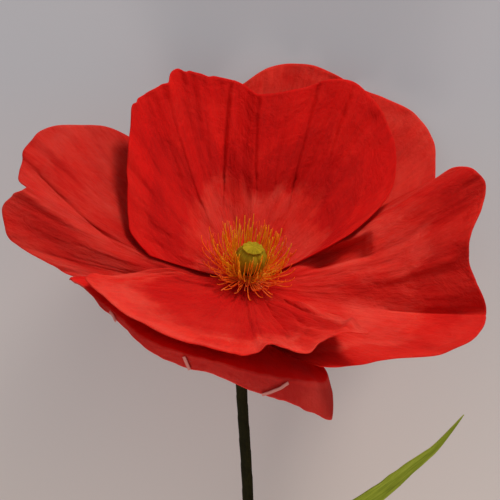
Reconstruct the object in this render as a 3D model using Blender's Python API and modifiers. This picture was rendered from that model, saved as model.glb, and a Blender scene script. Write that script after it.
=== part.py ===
"""A crepe paper poppy on a taped wire stem, lying on its back.

The frame has +Z up, with the origin on the surface that the flower lies on, under the middle of
its box, and +Y along the stem towards the bloom. Everything is in metres and degrees.

The bloom has an axis of its own, which runs from the top of the stem up through the seed pod. Round
it each petal is a fan of paper: azimuth 0 points to the right of the bloom, 90 to its back, 180 to
its left and 270 to its front. A petal's stations run round its rim, and each gives the azimuth, how
far the rim reaches from the axis, and how far it rises above the root of the lowest petal.
"""

import math

import bmesh
import bpy
import numpy as np
from mathutils import Matrix, Vector

MM = 0.001

# How the bloom lies: its axis leans from straight up towards +Y, and turns a little towards +X
BLOOM_TILT = 53.0
BLOOM_ROLL = -10.0

# Clear space between pieces that touch on the flower
FIT_GAP = 0.35 * MM

# Stem: a steel wire in a wrapping of green crepe strip
STEM_WIRE_DIAMETER = 2.0 * MM
STEM_WRAP_DIAMETER = 4.4 * MM
STEM_BELOW_BLOOM = 250.0 * MM
STEM_NECK = 8.0 * MM
STEM_POINTS = 22

# How finely a tube's section is divided
TUBE_ROUNDNESS = 2

# Tape that binds the roots of the petals to the stem, under the bloom
BINDING_LENGTH = 9.0 * MM
BINDING_THICKNESS = 0.6 * MM

# Petals: paper, and how far apart along the axis their roots are tied
PETAL_THICKNESS = 0.4 * MM
PETAL_ROOT_STEP = 0.8 * MM
PETAL_BOWL = 1.5
PETAL_ROOT_GAP = 0.45 * MM

# Gathers: the small uneven folds that fan out from each petal's tied root
GATHER_HEIGHT = 0.65 * MM
GATHER_SEED = 40

# Fringes: strips cut like combs and rolled round the stem's top
FRINGE_THICKNESS = 0.35 * MM
FRINGE_BAND = 2.4 * MM
FRINGE_STEP = 0.75 * MM

# Seed pod and its stigma cap
POD_DIAMETER = 12.4 * MM
POD_HEIGHT = 10.6 * MM
POD_RIBS = 9
POD_RIB_DEPTH = 0.35 * MM
STIGMA_DIAMETER = 8.4 * MM
STIGMA_THICKNESS = 0.9 * MM
STIGMA_NOTCH = 0.9 * MM
POD_SEGMENTS = 27
POD_RINGS = 9
POD_FLAT_FOOT = 0.94
POD_FLAT_CROWN = 0.8

# Leaf: a blade folded along its midrib, turned about it, with a wire under its lower part
LEAF_BELOW_BLOOM = 125.0 * MM
LEAF_WIDTH = 9.0 * MM
LEAF_STALK_WIDTH = 1.8 * MM
LEAF_THICKNESS = 0.5 * MM
LEAF_FOLD = 1.4 * MM
LEAF_TURN = 38.0
LEAF_WIRE_DIAMETER = 0.9 * MM
LEAF_WIRE_SHARE = 0.7
LEAF_STALK_SHARE = 0.08
LEAF_FULLNESS = 0.8
LEAF_TIP_WIDTH = 0.2 * MM
LEAF_COLUMNS = 4
LEAF_ROWS = 14

# Glued paper strips that cross the turned hem of the outer front petal
STRIP_WIDTH = 1.1 * MM
STRIP_THICKNESS = 0.3 * MM
STRIP_PASTE = 0.45 * MM

# Rim stations of each petal: azimuth, reach and rise in millimetres, in order round the bloom
OUTER_BACK_RIM = (
    (29, 34, 6), (35, 60, 10), (41, 84, 15), (46, 93, 20), (52, 100, 27), (59, 103, 31),
    (66, 99, 34), (73, 98, 35), (80, 98, 38), (87, 97, 39), (94, 93, 37), (101, 86, 32),
    (109, 88, 25), (117, 87.5, 19.5), (126, 78, 13), (134, 60, 8), (141, 36, 4),
)
LEFT_RIM = (
    (122, 42, 7), (128, 70, 14), (134, 77, 19), (141, 81, 25), (149, 85, 29), (158, 89, 33),
    (166, 89, 35), (174, 88, 35), (182, 88, 35), (186, 85, 34), (191, 89, 36), (196, 93, 35),
    (200, 90, 27), (203, 77, 19), (206, 66, 14), (209, 40, 8),
)
RIGHT_RIM = (
    (-76, 46, 12), (-70, 62, 19), (-65, 73, 24), (-58, 76, 25), (-51, 78, 26), (-44, 81, 26),
    (-37, 88, 28), (-30, 92, 30), (-23, 92, 30), (-16, 89, 29), (-9, 82, 31), (-2, 77, 34),
    (5, 77, 37), (11, 81, 44), (17, 83, 48), (24, 82, 47), (31, 80, 41), (36, 77, 31),
    (40, 70, 23), (44, 52, 13), (48, 34, 7),
)
INNER_BACK_RIM = (
    (31, 40, 17), (36, 52, 21), (41, 62, 24), (47, 71, 27), (54, 78, 34), (61, 82, 40),
    (67, 83, 44), (72, 84, 46), (77, 79, 47), (83, 72, 45), (90, 68, 43), (97, 67, 42),
    (102, 73, 42), (108, 78, 41), (114, 80, 42), (120, 82, 43), (126, 77, 41), (132, 75, 40),
    (138, 73, 39), (144, 65, 33), (151, 59, 29), (158.5, 54, 25.7), (166, 50.5, 21.8), (173.5, 47, 18),
    (181.5, 44, 15.3), (189, 37.5, 11.6),
)
OUTER_FRONT_RIM = (
    (205, 44, 9), (209, 64, 17), (212, 72, 21), (215, 74, 23), (220, 71, 22), (227, 70, 22),
    (235, 72, 24), (243, 76, 26), (251, 77, 26), (260, 77, 26), (268, 77, 26), (276, 77, 25),
    (284, 77, 23), (291, 76, 20), (297, 72, 16), (300.5, 63, 13), (303, 44, 7),
)
INNER_FRONT_RIM = (
    (196, 30, 8.5), (202, 44, 14), (209, 56, 22), (216, 67, 30), (223, 75, 35), (231, 79, 37),
    (239, 82, 38), (247, 85, 39), (255, 87, 40), (263, 88, 41), (270, 88, 41), (275, 84, 39),
    (278, 79, 38), (282, 78, 37), (287, 80, 37), (292, 75, 36), (297, 71, 35), (301, 71, 35),
    (305, 76, 39), (309, 63, 31), (314, 54, 23), (322, 42, 15), (331, 32, 9),
)

# How far the hem of the outer front petal turns: azimuth, outwards and downwards in millimetres
HEM_TURN = (
    (215, 0, 0), (227, 0.5, 1), (243, 0.5, 2), (253, 1, 4), (260, 1, 5), (276, 2, 6), (284, 3, 7.5),
    (291, 6, 8.5), (297, 9.5, 9.5), (299.5, 6, 4), (302, 0, 0),
)
HEM_START = 0.88

# Folds of each petal: azimuth at the rim, azimuth half way in, height in millimetres (a valley is
# negative), and half width in degrees
OUTER_BACK_FOLDS = ((52, 52, -2.0, 4), (84, 84, 1.6, 5), (112, 112, -2.5, 6))
LEFT_FOLDS = ((150, 150, -1.2, 4), (178, 190, -1.8, 3), (185, 194, 2.4, 3), (195, 200, -2.4, 3))
RIGHT_FOLDS = (
    (-50, -45, -1.2, 4), (-34, -34, 1.5, 7), (-15, -21, -3.6, 7), (3, -3, 2.6, 7), (24, 28, 1.5, 4),
)
INNER_BACK_FOLDS = (
    (48, 48, 1.6, 5), (69, 65, 1.8, 3), (81, 75, -1.8, 3), (91, 90, 1.0, 4), (102, 110, -3.4, 4),
    (121, 124, 1.5, 6), (150, 150, 1.5, 6),
)
OUTER_FRONT_FOLDS = ((232, 232, 1.0, 5), (262, 262, -1.0, 6))
INNER_FRONT_FOLDS = ((216, 216, 1.2, 5), (246, 246, -1.2, 6), (279, 279, -2.2, 4), (297, 297, 1.2, 3))

# Fringes from the innermost turn outwards: name, how far the tips lie from the axis, and how far
# above the band they stand at the back and at the front of the bloom
FRINGES = (
    ("fringe_inner", 13.0 * MM, 15.0 * MM, 8.0 * MM),
    ("fringe_outer", 17.0 * MM, 11.0 * MM, 2.0 * MM),
)
FRINGE_FINGERS = (34, 36)
FRINGE_ROWS = 5
FRINGE_CURL = 0.62
FRINGE_LEAN = 6.0
FRINGE_STRETCH = (0.86, 1.06)
FRINGE_SEED = 11


def metres(rows):
    """Stations with their lengths turned from millimetres to metres."""
    return [(row[0],) + tuple(value * MM for value in row[1:]) for row in rows]


def between(rows, place):
    """The stations' values at a place from 0 to len(rows) - 1, on a Catmull-Rom curve."""
    last = len(rows) - 1
    first = min(int(place), last - 1)
    part = place - first
    before, start, end, after = (np.array(rows[min(max(first + k, 0), last)], float) for k in (-1, 0, 1, 2))
    return (
        start
        + 0.5 * part * (end - before)
        + part**2 * (before - 2.5 * start + 2 * end - 0.5 * after)
        + part**3 * 0.5 * (3 * start - before - 3 * end + after)
    )


def at_azimuth(rows, azimuth):
    """The stations' lengths at an azimuth, in straight steps, and zero outside them."""
    angles = [row[0] for row in rows]
    if not angles[0] <= azimuth <= angles[-1]:
        return np.zeros(len(rows[0]) - 1)
    return np.array([np.interp(azimuth, angles, column) for column in list(zip(*rows))[1:]])


def bloom_matrix():
    """From the bloom's own frame, with its axis on Z, to the flower's."""
    roll = Matrix.Rotation(math.radians(BLOOM_ROLL), 4, "Z")
    return roll @ Matrix.Rotation(math.radians(-BLOOM_TILT), 4, "X")


def material(name, colour, roughness, metallic=0.0):
    made = bpy.data.materials.new(name)
    made.use_nodes = True
    shader = made.node_tree.nodes["Principled BSDF"]
    shader.inputs["Base Color"].default_value = (*colour, 1.0)
    shader.inputs["Roughness"].default_value = roughness
    shader.inputs["Metallic"].default_value = metallic
    return made


def place(piece, name, finish, collection, parent):
    """Names a piece, gives it its finish, and moves it into the flower's collection."""
    piece.name = name
    piece.data.name = name
    piece.data.materials.clear()
    piece.data.materials.append(finish)
    for old in piece.users_collection:
        old.objects.unlink(piece)
    collection.objects.link(piece)
    piece.parent = parent
    return piece


def grid(columns, rows, point):
    """A grid of columns by rows faces whose vertices lie at point(across, along), both 0 to 1."""
    bpy.ops.mesh.primitive_grid_add(x_subdivisions=columns, y_subdivisions=rows, size=1.0)
    sheet = bpy.context.object
    for vertex in sheet.data.vertices:
        vertex.co = point(vertex.co.x + 0.5, vertex.co.y + 0.5)
    return sheet


def thicken(sheet, thickness, even=True):
    """Gives an open sheet its thickness, half on each side."""
    wall = sheet.modifiers.new("paper", "SOLIDIFY")
    wall.thickness = thickness
    wall.offset = 0.0
    wall.use_even_offset = even
    wall.thickness_clamp = 1.0
    return sheet


def polar(azimuth, reach, height):
    angle = math.radians(azimuth)
    return Vector((reach * math.cos(angle), reach * math.sin(angle), height))


class Petal:
    """One petal as a surface: across runs round its rim, along runs from its root to its rim."""

    def __init__(self, rim, folds, layer, hem=()):
        self.rim = metres(rim)
        self.folds = folds
        self.root = layer * PETAL_ROOT_STEP
        self.root_reach = STEM_WRAP_DIAMETER / 2 + PETAL_ROOT_GAP
        self.hem = metres(hem)
        self.fold_way = bloom_matrix().inverted() @ Vector((0, 0, 1))
        self.gathers = np.random.default_rng(GATHER_SEED + layer).uniform(-1.0, 1.0, PETAL_COLUMNS + 1)

    def fold(self, azimuth, across, body):
        """How far folds and gathers lift the paper towards the upper side of the lying flower."""
        height = 0.0
        for rim_angle, half_angle, lift, width in self.folds:
            angle = rim_angle + 2 * (half_angle - rim_angle) * (1 - body)
            height += lift * math.exp(-(((azimuth - angle) / width) ** 2))
        gather = GATHER_HEIGHT * np.interp(across * PETAL_COLUMNS, range(PETAL_COLUMNS + 1), self.gathers)
        return self.fold_way * ((height * MM + gather) * body**2)

    def at(self, across, along):
        azimuth, reach, rise = between(self.rim, across * (len(self.rim) - 1))
        body = min(along / HEM_START, 1.0) if self.hem else along
        turn = max(along - HEM_START, 0.0) / (1.0 - HEM_START) if self.hem else 0.0
        out, drop = at_azimuth(self.hem, azimuth) if self.hem else (0.0, 0.0)
        reach = self.root_reach + (reach - self.root_reach) * body + out * turn
        height = self.root + (rise - self.root) * body**PETAL_BOWL - drop * turn
        return polar(azimuth, reach, height) + self.fold(azimuth, across, body)

    def normal(self, across, along, step=0.01):
        """The way that the petal's upper face looks."""
        sideways = self.at(across + step, along) - self.at(across - step, along)
        outwards = self.at(across, along) - self.at(across, along - step)
        return outwards.cross(sideways).normalized()


PETAL_COLUMNS = 28
PETALS = {
    "petal_outer_back": Petal(OUTER_BACK_RIM, OUTER_BACK_FOLDS, 0),
    "petal_left": Petal(LEFT_RIM, LEFT_FOLDS, 1),
    "petal_outer_front": Petal(OUTER_FRONT_RIM, OUTER_FRONT_FOLDS, 2, HEM_TURN),
    "petal_right": Petal(RIGHT_RIM, RIGHT_FOLDS, 3),
    "petal_inner_front": Petal(INNER_FRONT_RIM, INNER_FRONT_FOLDS, 4),
    "petal_inner_back": Petal(INNER_BACK_RIM, INNER_BACK_FOLDS, 5),
}
RIM_STOPS = 120
PETAL_ROWS = (0.0, 0.1, 0.24, 0.4, 0.55, 0.7, 0.82, 0.91, 1.0)
HEM_ROWS = (0.0, 0.12, 0.28, 0.45, 0.6, 0.75, HEM_START, 0.94, 1.0)


def make_petal(name, petal, finish, collection, parent):
    matrix = bloom_matrix()
    stops = HEM_ROWS if petal.hem else PETAL_ROWS

    def point(across, along):
        along = stops[round(along * (len(stops) - 1))]
        return matrix @ petal.at(across, along)

    sheet = grid(PETAL_COLUMNS, len(stops) - 1, point)
    return place(thicken(sheet, PETAL_THICKNESS), name, finish, collection, parent)


def fringe_base():
    """The height above the lowest petal's root at which the fringes' bands start."""
    return max(petal.root for petal in PETALS.values()) + PETAL_THICKNESS / 2 + FIT_GAP


def band_top(order):
    """The height at which a fringe's fingers leave its band: each inner turn stands a step higher."""
    return fringe_base() + FRINGE_BAND + (len(FRINGES) - 1 - order) * FRINGE_STEP


def pod_base():
    return band_top(0) + 2 * FIT_GAP


def make_fringe(order, finish, collection, parent):
    """A comb strip rolled round the stem: a band, and fingers that spread and curl at their tips."""
    matrix = bloom_matrix()
    name, spread, back_lift, front_lift = FRINGES[order]
    fingers = FRINGE_FINGERS[order]
    band_reach = STEM_WRAP_DIAMETER / 2 + FIT_GAP + FRINGE_THICKNESS / 2 + order * FRINGE_STEP
    start = fringe_base()
    top = band_top(order)
    columns = 2 * fingers - 1
    slit = 360.0 / fingers / 2
    rng = np.random.default_rng(FRINGE_SEED + order)
    lean = rng.uniform(-FRINGE_LEAN, FRINGE_LEAN, fingers)
    stretch = rng.uniform(*FRINGE_STRETCH, fingers)

    def azimuth_of(column):
        return 90.0 + slit / 2 + column / columns * (360.0 - slit)

    def point(across, along):
        column = round(across * columns)
        row = round(along * FRINGE_ROWS)
        azimuth = azimuth_of(column)
        if row <= 1:
            return matrix @ polar(azimuth, band_reach, (start, top)[row])
        finger = column // 2
        part = (row - 1) / (FRINGE_ROWS - 1)
        back = 0.5 + 0.5 * math.sin(math.radians(azimuth))
        lift = front_lift + (back_lift - front_lift) * back
        curl = (1 - math.cos(part * math.pi * FRINGE_CURL)) / (1 - math.cos(math.pi * FRINGE_CURL))
        reach = band_reach + (spread * stretch[finger] - band_reach) * math.sin(part * math.pi / 2)
        middle = azimuth_of(2 * finger + 0.5)
        width = (azimuth - middle) * band_reach / reach
        return matrix @ polar(middle + width + lean[finger] * part, reach, top + lift * curl)

    comb = grid(columns, FRINGE_ROWS, point)
    cut_slots(comb, columns)
    return place(thicken(comb, FRINGE_THICKNESS, even=False), name, finish, collection, parent)


def cut_slots(comb, columns):
    """Takes out the faces between the fingers, above the band."""
    shape = bmesh.new()
    shape.from_mesh(comb.data)
    shape.verts.ensure_lookup_table()
    slots = []
    for face in shape.faces:
        places = sorted(divmod(vertex.index, columns + 1) for vertex in face.verts)
        row, column = places[0]
        if row >= 1 and column % 2 == 1:
            slots.append(face)
    bmesh.ops.delete(shape, geom=slots, context="FACES")
    shape.to_mesh(comb.data)
    shape.free()


def make_pod(finish, collection, parent):
    """A squat ribbed ball with a flat crown, wrapped in crepe."""
    bpy.ops.mesh.primitive_uv_sphere_add(segments=POD_SEGMENTS, ring_count=POD_RINGS, radius=1.0)
    pod = bpy.context.object
    matrix = bloom_matrix()
    for vertex in pod.data.vertices:
        x, y, z = vertex.co
        azimuth = math.degrees(math.atan2(y, x))
        girth = math.hypot(x, y)
        rib = POD_RIB_DEPTH * math.cos(POD_RIBS * math.radians(azimuth)) * girth
        level = min(max(z, -POD_FLAT_FOOT), POD_FLAT_CROWN)
        height = pod_base() + POD_HEIGHT / 2 * (1 + level / POD_FLAT_FOOT)
        vertex.co = matrix @ polar(azimuth, girth * (POD_DIAMETER / 2 - POD_RIB_DEPTH) + rib, height)
    pod.data.shade_smooth()
    return place(pod, "seed_pod", finish, collection, parent)


def pod_top():
    return pod_base() + POD_HEIGHT / 2 * (1 + POD_FLAT_CROWN / POD_FLAT_FOOT)


def make_stigma(finish, collection, parent):
    """The scalloped disc of stigma rays on the pod's crown."""
    bpy.ops.mesh.primitive_cylinder_add(vertices=POD_RIBS * 4, radius=1.0, depth=1.0)
    disc = bpy.context.object
    matrix = bloom_matrix()
    low = pod_top() + FIT_GAP
    for vertex in disc.data.vertices:
        x, y, z = vertex.co
        azimuth = math.degrees(math.atan2(y, x))
        ray = 0.5 + 0.5 * math.cos(POD_RIBS * math.radians(azimuth))
        reach = STIGMA_DIAMETER / 2 - STIGMA_NOTCH * (1 - ray)
        vertex.co = matrix @ polar(azimuth, reach, low + (z + 0.5) * STIGMA_THICKNESS)
    return place(disc, "stigma_disc", finish, collection, parent)


def lowest_petal():
    """How far the lowest rim lies below the petals' root, once the bloom is tilted."""
    matrix = bloom_matrix()
    stops = [k / RIM_STOPS for k in range(RIM_STOPS + 1)]
    rims = (petal.at(stop, 1.0) for petal in PETALS.values() for stop in stops)
    return -min((matrix @ point).z for point in rims)


# The stem's way to the surface: sideways, how far below the bloom, and the share of its drop
STEM_ROUTE = (
    (-1.6, 17, 0.215), (-1.8, 36, 0.36), (0.6, 78, 0.535), (3.0, 135, 0.70), (4.5, 195, 0.86),
)
STEM_FOOT_SIDEWAYS = 5.0 * MM


def stem_points():
    """Points down the middle of the stem, from under the pod to the foot."""
    matrix = bloom_matrix()
    top = matrix @ Vector((0, 0, pod_base() - FIT_GAP))
    neck = matrix @ Vector((0, 0, -STEM_NECK))
    drop = lowest_petal() - STEM_WRAP_DIAMETER / 2
    route = [tuple(top), tuple(matrix @ Vector((0, 0, 0))), tuple(neck)]
    for sideways, down, share in STEM_ROUTE:
        route.append((sideways * MM, -down * MM, -drop * share))
    route.append((STEM_FOOT_SIDEWAYS, -STEM_BELOW_BLOOM, -drop))
    return [Vector(between(route, k / (STEM_POINTS - 1) * (len(route) - 1))) for k in range(STEM_POINTS)]


def tube(points, diameter, caps=True):
    """A round tube or wire along the points."""
    curve = bpy.data.curves.new("tube", "CURVE")
    curve.dimensions = "3D"
    curve.bevel_depth = diameter / 2
    curve.bevel_resolution = TUBE_ROUNDNESS
    curve.use_fill_caps = caps
    spline = curve.splines.new("POLY")
    spline.points.add(len(points) - 1)
    for knot, point in zip(spline.points, points):
        knot.co = (*point, 1.0)
    made = bpy.data.objects.new("tube", curve)
    bpy.context.scene.collection.objects.link(made)
    return made


def sleeve(points, outer, wall):
    """A hollow tube: an open curve tube with its wall grown inwards."""
    made = tube(points, outer, caps=False)
    skin = made.modifiers.new("wall", "SOLIDIFY")
    skin.thickness = wall
    skin.offset = -1.0
    return made


def make_stem(finishes, collection, parent):
    points = stem_points()
    wire = tube(points, STEM_WIRE_DIAMETER)
    place(wire, "stem_wire", finishes["wire"], collection, parent)
    wall = (STEM_WRAP_DIAMETER - STEM_WIRE_DIAMETER) / 2 - FIT_GAP
    wrap = sleeve(points, STEM_WRAP_DIAMETER, wall)
    place(wrap, "stem_wrap", finishes["wrap"], collection, parent)


def make_binding(finish, collection, parent):
    """A short sleeve of tape round the stem, right under the petals' roots."""
    matrix = bloom_matrix()
    top = -PETAL_THICKNESS / 2 - FIT_GAP
    points = [matrix @ Vector((0, 0, top - share * BINDING_LENGTH)) for share in (0.0, 0.5, 1.0)]
    outer = STEM_WRAP_DIAMETER + 2 * (FIT_GAP + BINDING_THICKNESS)
    place(sleeve(points, outer, BINDING_THICKNESS), "root_binding", finish, collection, parent)


# The leaf's midrib from where it leaves the stem: sideways, towards the bloom, and up
LEAF_ROUTE = (
    (0, 0, 0), (3, 11, 3), (9, 23, 7), (24, 35, 13), (42, 47, 18), (54, 56.5, 20), (65, 65, 21), (76, 77, 20),
)
LEAF_STEP = 0.02


def leaf_base():
    """Where the leaf leaves the stem, clear of its wrapping."""
    stem = sorted(stem_points(), key=lambda point: point.y)
    heights = [[point.y for point in stem], [point.x for point in stem], [point.z for point in stem]]
    x, z = (np.interp(-LEAF_BELOW_BLOOM, heights[0], column) for column in heights[1:])
    return Vector((x + STEM_WRAP_DIAMETER / 2 + FIT_GAP + LEAF_STALK_WIDTH / 2, -LEAF_BELOW_BLOOM, z))


def leaf_frame(along):
    """A point of the midrib, the way across the blade and the way its upper face looks."""
    last = len(LEAF_ROUTE) - 1
    places = (min(max(along + step, 0.0), 1.0) for step in (-LEAF_STEP, 0.0, LEAF_STEP))
    start, middle, end = (Vector(between(LEAF_ROUTE, last * place)) for place in places)
    way = (end - start).normalized()
    side = way.cross(Vector((0, 0, 1))).normalized()
    side = Matrix.Rotation(math.radians(LEAF_TURN), 3, way) @ side
    return leaf_base() + middle * MM, side, side.cross(way)


def leaf_width(along):
    past_stalk = min(max((along - LEAF_STALK_SHARE) / (1.0 - LEAF_STALK_SHARE), 0.0), 1.0)
    blade = LEAF_WIDTH * math.sin(math.pi * past_stalk**LEAF_FULLNESS)
    return max(blade, LEAF_STALK_WIDTH * (1.0 - along), LEAF_TIP_WIDTH)


def make_leaf(finishes, collection, parent):
    def point(across, along):
        middle, side, upper = leaf_frame(along)
        off = 2 * across - 1
        width = leaf_width(along)
        return middle + side * (off * width / 2) + upper * (abs(off) * LEAF_FOLD * width / LEAF_WIDTH)

    blade = grid(LEAF_COLUMNS, LEAF_ROWS, point)
    place(thicken(blade, LEAF_THICKNESS), "leaf", finishes["leaf"], collection, parent)
    points = []
    for k in range(LEAF_ROWS):
        middle, side, upper = leaf_frame(LEAF_STEP + LEAF_WIRE_SHARE * k / LEAF_ROWS)
        points.append(middle - upper * (LEAF_THICKNESS / 2 + FIT_GAP + LEAF_WIRE_DIAMETER / 2))
    place(tube(points, LEAF_WIRE_DIAMETER), "leaf_wire", finishes["wrap"], collection, parent)


# Each glued strip's two ends on the outer front petal: across and along, just past the hem's fold
STRIP_START = HEM_START + 0.02
STRIP_ROWS = 4
STRIP_ENDS = {
    "glue_strip_left": ((0.345, STRIP_START), (0.375, 1.0)),
    "glue_strip_middle": ((0.545, STRIP_START), (0.56, 1.0)),
    "glue_strip_right": ((0.755, STRIP_START), (0.705, 1.0)),
}


def make_strip(name, ends, finish, collection, parent):
    """A narrow strip of paper that lies on the outer front petal."""
    petal = PETALS["petal_outer_front"]
    matrix = bloom_matrix()
    lift = PETAL_THICKNESS / 2 + STRIP_PASTE + STRIP_THICKNESS / 2

    def point(across, along):
        here, there = (start + (end - start) * along for start, end in zip(*ends))
        middle = petal.at(here, there)
        way = petal.at(*ends[1]) - petal.at(*ends[0])
        upper = petal.normal(here, there)
        side = way.cross(upper).normalized()
        return matrix @ (middle + upper * lift + side * ((across - 0.5) * STRIP_WIDTH))

    strip = grid(1, STRIP_ROWS, point)
    place(thicken(strip, STRIP_THICKNESS), name, finish, collection, parent)


def set_down(pieces, frame):
    """Moves the flower so that it lies on the surface, with the origin under the middle of its box."""
    bpy.context.view_layer.update()
    graph = bpy.context.evaluated_depsgraph_get()
    corners = []
    for piece in pieces:
        mesh = piece.evaluated_get(graph).to_mesh()
        corners += [vertex.co.copy() for vertex in mesh.vertices]
        piece.evaluated_get(graph).to_mesh_clear()
    low = [min(corner[axis] for corner in corners) for axis in range(3)]
    high = [max(corner[axis] for corner in corners) for axis in range(3)]
    frame.location = (-(low[0] + high[0]) / 2, -(low[1] + high[1]) / 2, -low[2])


def main():
    for old in list(bpy.data.objects):
        bpy.data.objects.remove(old)
    collection = bpy.data.collections.new("crepe_paper_poppy")
    bpy.context.scene.collection.children.link(collection)
    frame = bpy.data.objects.new("poppy_frame", None)
    collection.objects.link(frame)
    finishes = {
        "petal": material("red_crepe_paper", (0.62, 0.020, 0.012), 0.75),
        "fringe_outer": material("orange_fringe_paper", (0.75, 0.11, 0.01), 0.8),
        "fringe_inner": material("yellow_fringe_paper", (0.65, 0.25, 0.015), 0.8),
        "pod": material("olive_crepe_paper", (0.30, 0.20, 0.012), 0.8),
        "stigma": material("gold_paper", (0.62, 0.42, 0.02), 0.8),
        "wrap": material("dark_green_crepe_strip", (0.012, 0.016, 0.002), 0.7),
        "wire": material("florist_wire", (0.42, 0.42, 0.43), 0.35, 1.0),
        "leaf": material("green_crepe_paper", (0.16, 0.22, 0.012), 0.75),
        "strip": material("pale_glued_paper", (0.62, 0.22, 0.19), 0.7),
    }
    for name, petal in PETALS.items():
        make_petal(name, petal, finishes["petal"], collection, frame)
    for order, (name, *_) in enumerate(FRINGES):
        make_fringe(order, finishes[name], collection, frame)
    make_pod(finishes["pod"], collection, frame)
    make_stigma(finishes["stigma"], collection, frame)
    make_stem(finishes, collection, frame)
    make_binding(finishes["wrap"], collection, frame)
    make_leaf(finishes, collection, frame)
    for name, ends in STRIP_ENDS.items():
        make_strip(name, ends, finishes["strip"], collection, frame)
    set_down([piece for piece in collection.objects if piece.type != "EMPTY"], frame)


main()
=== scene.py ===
"""A crepe paper poppy that lies on its back, finished in its papers, with its light and camera."""

import math

import bmesh
import bpy
import numpy as np
from mathutils import Matrix, Vector


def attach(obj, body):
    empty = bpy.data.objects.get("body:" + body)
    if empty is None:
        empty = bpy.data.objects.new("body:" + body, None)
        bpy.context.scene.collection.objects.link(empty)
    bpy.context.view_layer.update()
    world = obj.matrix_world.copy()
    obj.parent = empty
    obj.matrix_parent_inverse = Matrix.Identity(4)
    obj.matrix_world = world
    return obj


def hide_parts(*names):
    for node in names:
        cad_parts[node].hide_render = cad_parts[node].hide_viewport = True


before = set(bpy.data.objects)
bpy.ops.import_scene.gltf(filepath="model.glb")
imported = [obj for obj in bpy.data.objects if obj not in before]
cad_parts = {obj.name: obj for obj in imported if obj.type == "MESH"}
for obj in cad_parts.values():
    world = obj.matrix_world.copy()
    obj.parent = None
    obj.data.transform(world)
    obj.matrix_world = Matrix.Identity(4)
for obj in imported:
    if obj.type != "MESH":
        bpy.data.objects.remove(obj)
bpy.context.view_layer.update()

MM = 0.001

# How the bloom lies, and where its petals' roots meet the stem's axis
BLOOM_TILT = 53.0
BLOOM_ROLL = -10.0
BLOOM_BASE = np.array((-0.77, 81.492, 54.769))

# Stem and the pieces on its top, in millimetres
STEM_WIRE = 2.0
STEM_WRAP = 4.4
STEM_BELOW_BLOOM = 250.0
STEM_NECK = 8.0
STEM_FOOT_SIDEWAYS = 5.0
STEM_ROUTE = (
    (-1.6, 17, 0.215), (-1.8, 36, 0.36), (0.6, 78, 0.535), (3.0, 135, 0.70), (4.5, 195, 0.86),
)
FIT_GAP = 0.35
BINDING_LENGTH = 9.0
BINDING_THICKNESS = 0.6

# Petals, as in the solid model
PETAL_THICKNESS = 0.4
PETAL_ROOT_STEP = 0.8
PETAL_BOWL = 1.5
PETAL_ROOT_GAP = 0.45
HEM_START = 0.88

# Rim stations: azimuth, reach and rise in millimetres
OUTER_BACK_RIM = (
    (29, 34, 6), (35, 60, 10), (41, 84, 15), (46, 93, 20), (52, 100, 27), (59, 103, 31),
    (66, 99, 34), (73, 98, 35), (80, 98, 38), (87, 97, 39), (94, 93, 37), (101, 86, 32),
    (109, 88, 25), (117, 87.5, 19.5), (126, 78, 13), (134, 60, 8), (141, 36, 4),
)
LEFT_RIM = (
    (122, 42, 7), (128, 70, 14), (134, 77, 19), (141, 81, 25), (149, 85, 29), (158, 89, 33),
    (166, 89, 35), (174, 88, 35), (182, 88, 35), (186, 85, 34), (191, 89, 36), (196, 93, 35),
    (200, 90, 27), (203, 77, 19), (206, 66, 14), (209, 40, 8),
)
RIGHT_RIM = (
    (-76, 46, 12), (-70, 62, 19), (-65, 73, 24), (-58, 76, 25), (-51, 78, 26), (-44, 81, 26),
    (-37, 88, 28), (-30, 92, 30), (-23, 92, 30), (-16, 89, 29), (-9, 82, 31), (-2, 77, 34),
    (5, 77, 37), (11, 81, 44), (17, 83, 48), (24, 82, 47), (31, 80, 41), (36, 77, 31),
    (40, 70, 23), (44, 52, 13), (48, 34, 7),
)
INNER_BACK_RIM = (
    (31, 40, 17), (36, 52, 21), (41, 62, 24), (47, 71, 27), (54, 78, 34), (61, 82, 40),
    (67, 83, 44), (72, 84, 46), (77, 79, 47), (83, 72, 45), (90, 68, 43), (97, 67, 42),
    (102, 73, 42), (108, 78, 41), (114, 80, 42), (120, 82, 43), (126, 77, 41), (132, 75, 40),
    (138, 73, 39), (144, 65, 33), (151, 59, 29), (158.5, 54, 25.7), (166, 50.5, 21.8), (173.5, 47, 18),
    (181.5, 44, 15.3), (189, 37.5, 11.6),
)
OUTER_FRONT_RIM = (
    (205, 44, 9), (209, 64, 17), (212, 72, 21), (215, 74, 23), (220, 71, 22), (227, 70, 22),
    (235, 72, 24), (243, 76, 26), (251, 77, 26), (260, 77, 26), (268, 77, 26), (276, 77, 25),
    (284, 77, 23), (291, 76, 20), (297, 72, 16), (300.5, 63, 13), (303, 44, 7),
)
INNER_FRONT_RIM = (
    (196, 30, 7.8), (202, 44, 11), (209, 56, 16.5), (216, 67, 24.5), (223, 75, 31.5), (231, 79, 36),
    (239, 82, 38), (247, 85, 39), (255, 87, 40), (263, 88, 41), (270, 88, 41), (275, 84, 39),
    (278, 79, 38), (282, 78, 37), (287, 80, 37), (292, 75, 36), (297, 71, 35), (301, 71, 35),
    (305, 76, 39), (309, 63, 31), (314, 54, 23), (322, 42, 15), (331, 32, 9),
)

# How far the outer front petal's hem turns: azimuth, outwards and downwards in millimetres
HEM_TURN = (
    (215, 0, 0), (227, 0.5, 1), (243, 0.5, 2), (253, 1, 4), (260, 1, 5), (276, 2, 6), (284, 3, 7.5),
    (291, 6, 8.5), (297, 9.5, 9.5), (299.5, 6, 4), (302, 0, 0),
)

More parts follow.
